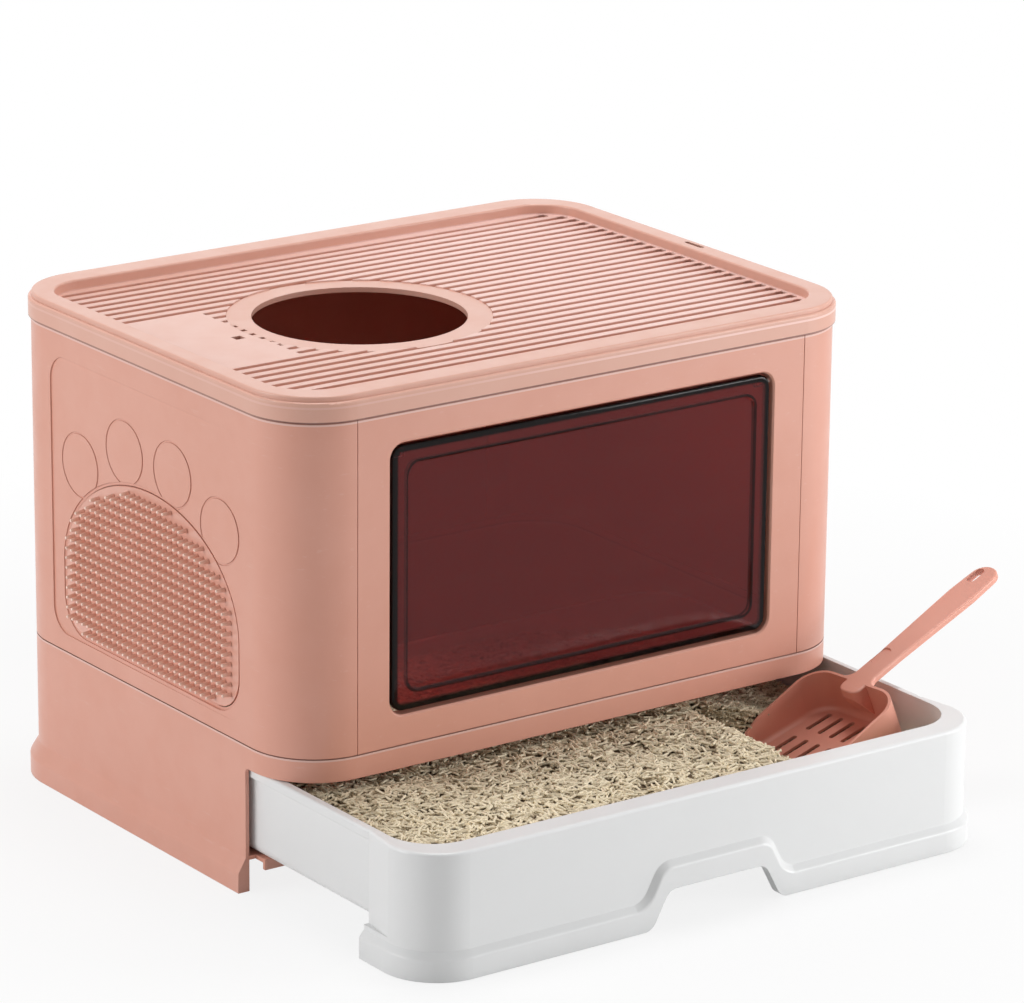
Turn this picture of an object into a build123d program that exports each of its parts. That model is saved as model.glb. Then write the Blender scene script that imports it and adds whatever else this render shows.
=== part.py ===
from build123d import *
import math
import os

# Litter box for a cat: a rounded cabin on a raised base, entered through a tinted flap in
# the front or the round hole in the lid, over a pull-out litter drawer.
# Millimetres. +X is the right-hand side, -Y the front and +Z up. The origin lies on the
# floor under the middle of the base. The drawer is drawn pulled out.

# Cabin
body_width = 506.0
body_depth = 392.0
corner_radius = 53.0
wall = 3.0
base_height = 112.0
shell_height = 249.4
seam_groove = 0.9
panel_gap = 0.5
fit_gap = 0.3

# Base
floor_top = 27.0
floor_thickness = 3.0
floor_lip_height = 8.0
floor_reach = 13.0
foot_flare = 6.5
foot_band_height = 15.0
foot_slope_height = 11.0
foot_round = 3.5
front_beam_height = 17.0
front_beam_flange = 14.0
mouth_setback = 63.0
mouth_fillet = 4.0
locating_lip_height = 6.0
locating_lip_thickness = 2.0
ledge_height = 6.0
centre_foot_radius = 20.0
floor_rib_thickness = 3.0
floor_rib_clearance = 6.0

# Panels and their seams
seam_x = 199.1
tongue_width = 12.0
tongue_root = 8.0
tongue_thickness = 2.2
tongue_end_clearance = 8.0
snap_tab_depth = 2.5
snap_tab_height = 14.0
snap_tab_low = 46.0
snap_tab_high = 186.0

# Window and flap
window_half_width = 170.8
window_bottom = 135.1
window_height = 202.5
window_radius = 12.0
window_edge = 1.2
window_flange_depth = 10.0
window_flange_thickness = 2.5
flap_gap = 2.5
flap_thickness = 4.2
flap_border = 13.0
flap_recess = 2.0
flap_edge_round = 1.8
flap_setback = 1.2
hinge_drop = 8.6
hinge_barrel_radius = 3.4
hinge_barrel_length = 10.0
hinge_barrel_inset = 1.5
hinge_setback = 1.0
hinge_pin_radius = 1.8
hinge_pin_bite = 9.5
hinge_pin_head_radius = 3.2
hinge_pin_head_length = 2.0
hinge_running_gap = 0.2
pin_seat_gap = 0.1

# Relief on the side walls
relief_half_depth = 131.0
relief_bottom_margin = 14.0
relief_top_margin = 20.0
relief_radius = 20.0
relief_step = 1.0

# Paw figure with the grooming pad on the left wall
paw_centre_y = -5.0
pad_half_width = 119.0
pad_bottom = 131.0
pad_side_height = 54.0
pad_arch_height = 83.0
pad_corner_radius = 28.0
pad_recess = 1.0
pad_step_width = 2.2
pad_step_depth = 1.7
pad_flange = 5.0
pad_thickness = 4.0
toe_half_width = 26.0
toe_half_height = 25.0
toe_line = 1.4
toe_line_depth = 0.7
inner_toe_offset = 33.0
inner_toe_height = 289.5
outer_toe_offset = 96.0
outer_toe_height = 264.0
bristle_pitch = 8.4
bristle_width = 2.8
bristle_tip_width = 1.6
bristle_length = 5.0
bristle_margin = 4.5

# Lid
lid_overhang = 2.0
lid_band_height = 14.6
lid_height = 18.6
lid_bead_step = 2.6
lid_edge_round = 1.5
lid_rim_side = 18.0
lid_rim_front = 24.0
lid_rim_corner = 34.0
lid_rim_wall = 3.0
deck_drop = 8.0
deck_thickness = 5.0
lid_lip_length = 6.0
lid_lip_thickness = 2.4
rib_pitch = 12.5
rib_rows = 27
groove_width = 5.6
groove_depth = 2.5
groove_end_margin = 1.0
drain_length = 7.0
drain_width = 7.4
drain_corner = 1.5
landing_drain_length = 4.5
landing_drain_width = 4.6
finger_hole_x = -174.5
finger_hole_y = -5.0
finger_hole_width = 8.0
exit_x = -65.0
exit_radius = 80.0
exit_ring_radius = 98.5
exit_ring_step = 1.0
landing_half_depth = 68.0
landing_right_x = -161.0
rim_slot_length = 22.0
rim_slot_width = 4.0

# Drawer
drawer_pull = 151.0
drawer_proud = 8.5
drawer_travel_gap = 0.5
drawer_foot_gap = 1.0
drawer_side_gap = 1.0
drawer_wall = 3.2
drawer_rim_top = 94.3
drawer_rim_drop = 7.0
drawer_rim_step = 3.0
drawer_rim_round = 2.4
drawer_front_rim = 19.0
drawer_length = 390.0
drawer_corner_radius = 40.0
drawer_floor_gap = 0.4
drawer_edge_radius = 9.0
drawer_inner_edge_radius = 5.0
drawer_inner_radius = 36.0
drawer_fairing = 30.0
drawer_flare = 4.2
drawer_band_height = 16.0
drawer_band_slope = 5.0
drawer_band_round = 3.0
notch_half_width = 43.0
notch_height = 28.0
notch_slope = 15.0
notch_round = 11.0
hood_side = 6.5
hood_skirt = 40.0
hood_sink = 0.3
hood_round = 16.0

# Litter
litter_top = 88.0
litter_level = 85.0
mound_radius = 46.0
mound_pitch = 73.0
litter_crest_x = 96.0
litter_slope_end = 60.0
litter_gap = 0.2
litter_edge_round = 6.0
scoop_bay_gap = 1.5
scoop_seat_gap = 0.15

# Scoop, in its own frame: +X to the end of the handle, +Z out of the mouth of the pan
scoop_back_centre = (213.9, -251.3, 103.8)
scoop_axis = (0.9146, 0.0839, 0.3957)
scoop_mouth_axis = (-0.3948, -0.0272, 0.9184)
pan_length = 115.0
pan_width = 94.5
pan_wall = 2.2
pan_back_depth = 38.0
pan_front_depth = 20.0
pan_level_rim = 65.0
pan_rim_dip = 3.0
pan_front_lip = 3.0
pan_corner_radius = 22.0
pan_edge_radius = 6.0
pan_rim_bend = 20.0
slot_columns = 6
slot_pitch = 12.4
slot_width = 4.2
slot_length = 26.0
slot_rows = 3
slot_row_pitch = 37.0
slot_back_margin = 24.8
handle_length = 152.0
handle_root = 14.0
handle_root_height = 7.0
handle_root_depth = 30.0
handle_root_round = 7.0
handle_thickness = 5.5
handle_neck_width = 20.0
handle_neck_x = 38.0
handle_neck_round = 9.0
handle_shoulder = 20.0
handle_grip_width = 25.6
handle_grip_x = 116.0
handle_tip_width = 23.0
handle_channel_wall = 2.4
handle_round = 1.5
thumb_recess_x = 31.0
thumb_recess_y = 5.5
thumb_recess_length = 19.0
thumb_recess_width = 10.0
thumb_recess_depth = 1.4
hang_hole_length = 17.0
hang_hole_width = 7.5
hang_hole_margin = 13.5
hang_hole_offset = 5.0

# Derived places
half_width = body_width / 2
half_depth = body_depth / 2
shell_top = base_height + shell_height
inner_width = body_width - 2 * wall
inner_depth = body_depth - 2 * wall
inner_radius = corner_radius - wall
mouth_y = mouth_setback - half_depth
floor_front_y = mouth_y - floor_reach
floor_bottom = floor_top - floor_thickness
beam_bottom = base_height - front_beam_height
lip_offset = wall + fit_gap
tongue_y = half_depth - wall - fit_gap
snap_tab_levels = (base_height + snap_tab_low, base_height + snap_tab_high)
window_top = window_bottom + window_height
window_mid = window_bottom + window_height / 2
flap_half_width = window_half_width - flap_gap
flap_height = window_height - 2 * flap_gap
flap_front_y = flap_setback - half_depth
hinge_z = window_top - hinge_drop
hinge_y = flap_front_y + flap_thickness + hinge_setback
lid_top = shell_top + lid_height
deck_top = lid_top - deck_drop
deck_bottom = deck_top - deck_thickness
deck_half_width = half_width + lid_overhang - lid_rim_side
deck_half_depth = half_depth + lid_overhang - lid_rim_front
groove_end_x = deck_half_width - groove_end_margin
groove_rows = [(row - (rib_rows - 1) / 2) * rib_pitch for row in range(rib_rows)]
drawer_front_y = -half_depth - drawer_proud - drawer_pull
skirt_rear_y = mouth_y - drawer_pull - drawer_travel_gap
drawer_half_width = half_width - wall - drawer_side_gap
floor_front_half_width = drawer_half_width - drawer_wall - drawer_side_gap
tray_half_width = drawer_half_width - drawer_rim_step
tray_front_y = drawer_front_y + drawer_front_rim - drawer_wall
tray_rear_y = drawer_front_y + drawer_length
tray_bottom = floor_top + drawer_floor_gap
tray_floor = tray_bottom + drawer_wall
tray_mid_y = (tray_front_y + tray_rear_y - drawer_rim_step) / 2
tray_length = tray_rear_y - drawer_rim_step - tray_front_y
pan_bottom_slope = (pan_back_depth - pan_front_depth) / pan_length
drawer_ledge = drawer_foot_gap + drawer_band_height + drawer_band_slope

os.makedirs("parts", exist_ok=True)


def ring_sketch(outer_offset, inner_offset):
    """Draw the band between two outlines, each inset from the body's rounded outline."""
    for inset, mode in ((outer_offset, Mode.ADD), (inner_offset, Mode.SUBTRACT)):
        RectangleRounded(
            body_width - 2 * inset, body_depth - 2 * inset, corner_radius - inset, mode=mode
        )


def foot_outline(inset, flare, band, slope):
    """Corners of a flared foot's section: a vertical band under a slope, against a wall."""
    return (
        (-inset, 0),
        (flare, 0),
        (flare, band),
        (0, band + slope),
        (0, band + slope + foot_round),
        (-inset, band + slope + foot_round),
    )


def groove_end(row_y):
    """Where a groove ends on the deck, short of the rim and its rounded corners."""
    into_corner = abs(row_y) + drain_width / 2 - (deck_half_depth - lid_rim_corner)
    if into_corner <= 0:
        return groove_end_x
    return groove_end_x - lid_rim_corner + math.sqrt(lid_rim_corner**2 - into_corner**2)


def pad_sketch(grow):
    """Draw the paw's main pad, a flat-bottomed arch, grown by an amount all round."""
    with Locations((paw_centre_y, pad_bottom + pad_side_height)):
        Ellipse(pad_half_width + grow, pad_arch_height + grow)
        Rectangle(
            2 * (pad_half_width + grow),
            pad_arch_height + grow,
            align=(Align.CENTER, Align.MAX),
            mode=Mode.SUBTRACT,
        )
    with Locations((paw_centre_y, pad_bottom - grow)):
        RectangleRounded(
            2 * (pad_half_width + grow),
            pad_side_height + pad_corner_radius + 2 * grow,
            pad_corner_radius + grow,
            align=(Align.CENTER, Align.MIN),
        )


# Base frame: walls, front beam, floor plate and flared foot in one moulding
with BuildPart() as base_frame:
    with BuildSketch():
        ring_sketch(0, wall)
    extrude(amount=base_height)
    with BuildSketch(Plane.YZ) as mouth:
        Polygon(
            (-body_depth, -body_depth),
            (mouth_y, -body_depth),
            (mouth_y, beam_bottom),
            (-body_depth, beam_bottom),
            align=None,
        )
        fillet(mouth.vertices().group_by(Axis.Y)[-1].sort_by(Axis.X)[-1], mouth_fillet)
    extrude(amount=body_width, both=True, mode=Mode.SUBTRACT)
    with BuildLine():
        right_side = Line((half_width, mouth_y), (half_width, half_depth - corner_radius))
        JernArc(right_side @ 1, right_side % 1, corner_radius, 90)
        rear_side = Line(
            (half_width - corner_radius, half_depth), (corner_radius - half_width, half_depth)
        )
        JernArc(rear_side @ 1, rear_side % 1, corner_radius, 90)
        Line((-half_width, half_depth - corner_radius), (-half_width, mouth_y))
    with BuildSketch(Plane((half_width, mouth_y, 0), x_dir=(1, 0, 0), z_dir=(0, -1, 0))) as foot:
        Polygon(
            *foot_outline(wall / 2, foot_flare, foot_band_height, foot_slope_height), align=None
        )
        fillet(foot.vertices().group_by(Axis.Y)[1] + foot.vertices().group_by(Axis.Y)[2], foot_round)
    sweep()
    with BuildSketch(Plane.XY.offset(floor_bottom)):
        RectangleRounded(inner_width + wall, inner_depth + wall, inner_radius + wall / 2)
        with Locations((0, mouth_y)):
            Rectangle(body_width, body_depth, align=(Align.CENTER, Align.MIN), mode=Mode.INTERSECT)
        with Locations((0, floor_front_y)):
            Rectangle(2 * floor_front_half_width, 2 * floor_reach, align=(Align.CENTER, Align.MIN))
    extrude(amount=floor_thickness)
    with BuildSketch(Plane.XY.offset(floor_top - floor_lip_height)):
        with Locations((0, floor_front_y)):
            Rectangle(2 * floor_front_half_width, wall, align=(Align.CENTER, Align.MIN))
    extrude(amount=floor_lip_height)
    with BuildSketch(Plane.XY.offset(beam_bottom)):
        ring_sketch(wall / 2, front_beam_flange)
        with Locations((0, mouth_y)):
            Rectangle(body_width, body_depth, align=(Align.CENTER, Align.MAX), mode=Mode.INTERSECT)
    extrude(amount=wall)
    with BuildSketch(Plane.XY.offset(base_height - ledge_height)):
        ring_sketch(wall / 2, lip_offset + locating_lip_thickness)
    extrude(amount=ledge_height)
    with BuildSketch(Plane.XY.offset(base_height)):
        ring_sketch(lip_offset, lip_offset + locating_lip_thickness)
    extrude(amount=locating_lip_height)
    with BuildSketch(Plane.XY.offset(floor_rib_clearance)):
        Rectangle(inner_width + wall, floor_rib_thickness)
        with Locations((0, floor_front_y)):
            Rectangle(
                floor_rib_thickness,
                half_depth - wall / 2 - floor_front_y,
                align=(Align.CENTER, Align.MIN),
            )
    extrude(amount=floor_bottom - floor_rib_clearance)
    with BuildSketch():
        Circle(centre_foot_radius)
    extrude(amount=floor_bottom)

# Right side wall: one moulding from the front seam round both corners to the rear seam
with BuildPart() as relief_cutter:
    with BuildSketch(Plane.XY.offset(base_height + relief_bottom_margin)):
        Polygon(
            (half_width, -relief_half_depth),
            (half_width + relief_step, -relief_half_depth),
            (half_width + relief_step, relief_half_depth),
            (half_width - relief_step, relief_half_depth),
            align=None,
        )
    extrude(amount=shell_height - relief_bottom_margin - relief_top_margin)
    fillet(relief_cutter.edges().filter_by(Axis.X), relief_radius)

with BuildPart() as right_side_shell:
    with BuildSketch(Plane.XY.offset(base_height)):
        ring_sketch(0, wall)
        with Locations((seam_x, 0)):
            Rectangle(
                body_width, 2 * body_depth, align=(Align.MIN, Align.CENTER), mode=Mode.INTERSECT
            )
    extrude(amount=shell_height)
    with BuildSketch(Plane.XY.offset(base_height + tongue_end_clearance)):
        with Locations((seam_x, tongue_y - tongue_thickness)):
            Rectangle(
                tongue_root, tongue_thickness + fit_gap + wall / 2, align=(Align.MIN, Align.MIN)
            )
            Rectangle(tongue_width, tongue_thickness, align=(Align.MAX, Align.MIN))
        mirror(about=Plane.XZ)
    extrude(amount=shell_height - 2 * tongue_end_clearance)
    for level in snap_tab_levels:
        with BuildSketch(Plane.XY.offset(level - fit_gap)):
            with Locations((seam_x, half_depth - wall)):
                Rectangle(
                    snap_tab_depth + fit_gap, wall / 2 + fit_gap, align=(Align.MIN, Align.MIN)
                )
            mirror(about=Plane.XZ)
        extrude(amount=snap_tab_height + 2 * fit_gap, mode=Mode.SUBTRACT)
    for level in (base_height, shell_top - seam_groove):
        with BuildSketch(Plane.XY.offset(level)):
            ring_sketch(-wall, seam_groove)
        extrude(amount=seam_groove, mode=Mode.SUBTRACT)
    add(relief_cutter.part, mode=Mode.SUBTRACT)

# Left side wall: the same moulding mirrored, with the paw figure
with BuildPart() as left_side_shell:
    mirror(right_side_shell.part, about=Plane.YZ)
    with BuildSketch(Plane.YZ.offset(-half_width)):
        pad_sketch(0)
    extrude(amount=2 * wall, both=True, mode=Mode.SUBTRACT)
    with BuildSketch(Plane.YZ.offset(-half_width)):
        pad_sketch(pad_step_width)
    extrude(amount=pad_step_depth, mode=Mode.SUBTRACT)
    for side in (-1, 1):
        for reach, height in (
            (inner_toe_offset, inner_toe_height),
            (outer_toe_offset, outer_toe_height),
        ):
            toe_y = paw_centre_y + side * reach
            relief_here = relief_step * (toe_y + relief_half_depth) / (2 * relief_half_depth)
            with BuildSketch(Plane.YZ.offset(-half_width)):
                with Locations((toe_y, height)):
                    Ellipse(toe_half_width, toe_half_height)
                    Ellipse(
                        toe_half_width - toe_line, toe_half_height - toe_line, mode=Mode.SUBTRACT
                    )
            extrude(amount=relief_here + toe_line_depth, mode=Mode.SUBTRACT)

# Grooming pad: a bristled plate held in the left wall by a flange behind it
bristle_points = []
bristle_row_pitch = bristle_pitch * math.sin(math.radians(60))
for row in range(int((pad_side_height + pad_arch_height) / bristle_row_pitch) + 1):
    rise = bristle_margin + row * bristle_row_pitch
    above_sides = max(rise - pad_side_height, 0) / (pad_arch_height - bristle_margin)
    below_round = max(pad_corner_radius - rise, 0)
    if above_sides < 1:
        reach = (pad_half_width - bristle_margin) * math.sqrt(1 - above_sides**2)
        reach -= pad_corner_radius - math.sqrt(pad_corner_radius**2 - below_round**2)
        shift = bristle_pitch / 2 if row % 2 else 0
        columns = int((reach - shift) / bristle_pitch)
        for column in range(-columns - (1 if shift else 0), columns + 1):
            bristle_points.append(
                (paw_centre_y + shift + column * bristle_pitch, pad_bottom + rise)
            )
print("bristles", len(bristle_points))

with BuildPart() as bristle:
    with BuildSketch(Plane.YZ.offset(pad_recess - half_width + fit_gap)):
        Rectangle(bristle_width, bristle_width, rotation=45)
    with BuildSketch(Plane.YZ.offset(pad_recess - half_width - bristle_length)):
        Rectangle(bristle_tip_width, bristle_tip_width, rotation=45)
    loft(ruled=True)

with BuildPart() as grooming_pad:
    with BuildSketch(Plane.YZ.offset(pad_recess - half_width)):
        pad_sketch(-fit_gap)
    extrude(amount=pad_thickness)
    with BuildSketch(Plane.YZ.offset(wall - half_width)):
        pad_sketch(pad_flange)
    extrude(amount=pad_recess + pad_thickness - wall)
    add([bristle.part.moved(Location((0, y, z))) for y, z in bristle_points])

# Rear panel: a plain flat wall with snap tabs that enter the side walls
with BuildPart() as rear_panel:
    with BuildSketch(Plane.XY.offset(base_height)):
        with Locations((0, half_depth)):
            Rectangle(2 * (seam_x - panel_gap), wall, align=(Align.CENTER, Align.MAX))
    extrude(amount=shell_height)
    for level in snap_tab_levels:
        with BuildSketch(Plane.XY.offset(level)):
            with Locations((0, half_depth - wall)):
                Rectangle(
                    2 * (seam_x + snap_tab_depth), wall / 2, align=(Align.CENTER, Align.MIN)
                )
        extrude(amount=snap_tab_height)
    for level in (base_height, shell_top - seam_groove):
        with BuildSketch(Plane.XY.offset(level)):
            ring_sketch(-wall, seam_groove)
        extrude(amount=seam_groove, mode=Mode.SUBTRACT)

# Front panel: the same wall with the window, its flange and the hinge pin holes
with BuildPart() as front_panel:
    mirror(rear_panel.part, about=Plane.XZ)
    with BuildSketch(Plane.XZ.offset(half_depth)):
        with Locations((0, window_mid)):
            RectangleRounded(
                2 * (window_half_width + window_flange_thickness),
                window_height + 2 * window_flange_thickness,
                window_radius + window_flange_thickness,
            )
    extrude(amount=-window_flange_depth)
    with BuildSketch(Plane.XZ.offset(half_depth)):
        with Locations((0, window_mid)):
            RectangleRounded(2 * window_half_width, window_height, window_radius)
    extrude(amount=-window_flange_depth, mode=Mode.SUBTRACT)
    window_rim = front_panel.faces().filter_by(Axis.Y).sort_by(Axis.Y)[0].inner_wires()[0]
    chamfer(window_rim.edges(), window_edge)
    with BuildSketch(Plane.YZ):
        with Locations((hinge_y, hinge_z)):
            Circle(hinge_pin_radius + pin_seat_gap)
    extrude(amount=seam_x, both=True, mode=Mode.SUBTRACT)

# Flap: a tinted panel with a sunk middle, hung from barrels at its top corners
with BuildPart() as flap_door:
    with BuildSketch(Plane.XZ.offset(-flap_front_y)):
        with Locations((0, window_mid)):
            RectangleRounded(2 * flap_half_width, flap_height, window_radius - flap_gap)
    extrude(amount=-flap_thickness)
    flap_front = flap_door.faces().filter_by(Axis.Y).sort_by(Axis.Y)[0]
    fillet(flap_front.edges(), flap_edge_round)
    with BuildSketch(Plane.XZ.offset(-flap_front_y)):
        with Locations((0, window_mid)):
            RectangleRounded(
                2 * (flap_half_width - flap_border), flap_height - 2 * flap_border, window_radius
            )
    extrude(amount=-flap_recess, taper=40, mode=Mode.SUBTRACT)
    for side in (-1, 1):
        with BuildSketch(Plane.YZ.offset(side * (flap_half_width - hinge_barrel_inset))):
            with Locations((hinge_y, hinge_z)):
                Circle(hinge_barrel_radius)
        extrude(amount=-side * hinge_barrel_length)
    for side in (-1, 1):
        with BuildSketch(Plane.YZ.offset(side * flap_half_width)):
            with Locations((hinge_y, hinge_z)):
                Circle(hinge_pin_radius + hinge_running_gap)
        extrude(amount=-side * (hinge_pin_bite + fit_gap), mode=Mode.SUBTRACT)

# Hinge pins: headed stubs through the window flange into the flap's barrels
with BuildPart() as right_hinge_pin:
    with BuildSketch(Plane.YZ.offset(flap_half_width - hinge_pin_bite)):
        with Locations((hinge_y, hinge_z)):
            Circle(hinge_pin_radius)
    extrude(amount=hinge_pin_bite + flap_gap + window_flange_thickness)
    with BuildSketch(Plane.YZ.offset(window_half_width + window_flange_thickness)):
        with Locations((hinge_y, hinge_z)):
            Circle(hinge_pin_head_radius)
    extrude(amount=hinge_pin_head_length)
    chamfer(right_hinge_pin.edges().group_by(Axis.X)[0], hinge_pin_radius / 4)

with BuildPart() as left_hinge_pin:
    mirror(right_hinge_pin.part, about=Plane.YZ)

# Lid: a raised rim round a ribbed deck that drains at both ends, with the exit hole
with BuildPart() as lid:
    with BuildSketch(Plane.XY.offset(shell_top)):
        RectangleRounded(
            body_width + 2 * lid_overhang, body_depth + 2 * lid_overhang,
            corner_radius + lid_overhang,
        )
    extrude(amount=lid_band_height)
    fillet(lid.faces().sort_by(Axis.Z)[-1].edges(), lid_edge_round)
    with BuildSketch(Plane.XY.offset(shell_top + lid_band_height - lid_edge_round)):
        bead_inset = lid_bead_step - lid_overhang
        RectangleRounded(
            body_width - 2 * bead_inset, body_depth - 2 * bead_inset, corner_radius - bead_inset
        )
    extrude(amount=lid_height - lid_band_height + lid_edge_round)
    with BuildSketch(Plane.XY.offset(lid_top)):
        RectangleRounded(2 * deck_half_width, 2 * deck_half_depth, lid_rim_corner)
    extrude(amount=-deck_drop, mode=Mode.SUBTRACT)
    fillet(lid.faces().sort_by(Axis.Z)[-1].edges(), lid_edge_round)
    with BuildSketch(Plane.XY.offset(shell_top)):
        RectangleRounded(
            body_width - 2 * (lip_offset + lid_lip_thickness),
            body_depth - 2 * (lip_offset + lid_lip_thickness),
            corner_radius - lip_offset - lid_lip_thickness,
        )
    extrude(amount=deck_bottom - shell_top, mode=Mode.SUBTRACT)
    with BuildSketch(Plane.XY.offset(deck_bottom)):
        RectangleRounded(
            body_width - 2 * (lip_offset + lid_lip_thickness),
            body_depth - 2 * (lip_offset + lid_lip_thickness),
            corner_radius - lip_offset - lid_lip_thickness,
        )
        RectangleRounded(
            2 * (deck_half_width + lid_rim_wall), 2 * (deck_half_depth + lid_rim_wall),
            lid_rim_corner + lid_rim_wall, mode=Mode.SUBTRACT,
        )
    extrude(amount=lid_top - lid_rim_wall - deck_bottom, mode=Mode.SUBTRACT)
    with BuildSketch(Plane.XY.offset(shell_top - lid_lip_length)):
        ring_sketch(lip_offset, lip_offset + lid_lip_thickness)
    extrude(amount=lid_lip_length)
    with BuildSketch(Plane.XY.offset(deck_top)):
        for groove_y in groove_rows:
            on_landing = abs(groove_y) < landing_half_depth
            start_x = landing_right_x if on_landing else -groove_end(groove_y)
            with Locations(((start_x + groove_end(groove_y)) / 2, groove_y)):
                SlotOverall(groove_end(groove_y) - start_x, groove_width)
        with Locations((exit_x, 0)):
            Circle(exit_ring_radius, mode=Mode.SUBTRACT)
    extrude(amount=-groove_depth, mode=Mode.SUBTRACT)
    with BuildSketch(Plane.XY.offset(deck_top)):
        for groove_y in groove_rows:
            with Locations((groove_end(groove_y), groove_y)):
                RectangleRounded(
                    drain_length, drain_width, drain_corner, align=(Align.MAX, Align.CENTER)
                )
            if abs(groove_y) < landing_half_depth:
                with Locations((landing_right_x, groove_y)):
                    Rectangle(
                        landing_drain_length, landing_drain_width, align=(Align.MIN, Align.CENTER)
                    )
        with Locations((finger_hole_x, finger_hole_y)):
            Rectangle(finger_hole_width, finger_hole_width)
    extrude(amount=-deck_thickness, mode=Mode.SUBTRACT)
    with BuildSketch(Plane.XY.offset(deck_top)):
        with Locations((exit_x, 0)):
            Circle(exit_ring_radius)
    extrude(amount=-exit_ring_step, mode=Mode.SUBTRACT)
    with BuildSketch(Plane.XY.offset(deck_bottom)):
        with Locations((exit_x, 0)):
            Circle(exit_radius)
    extrude(amount=deck_thickness, mode=Mode.SUBTRACT)
    with BuildSketch(Plane.XY.offset(deck_bottom)):
        with Locations(((deck_half_width + half_width + lid_overhang) / 2, 0)):
            SlotOverall(rim_slot_length, rim_slot_width, rotation=90)
    extrude(amount=lid_top - deck_bottom, mode=Mode.SUBTRACT)

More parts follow.
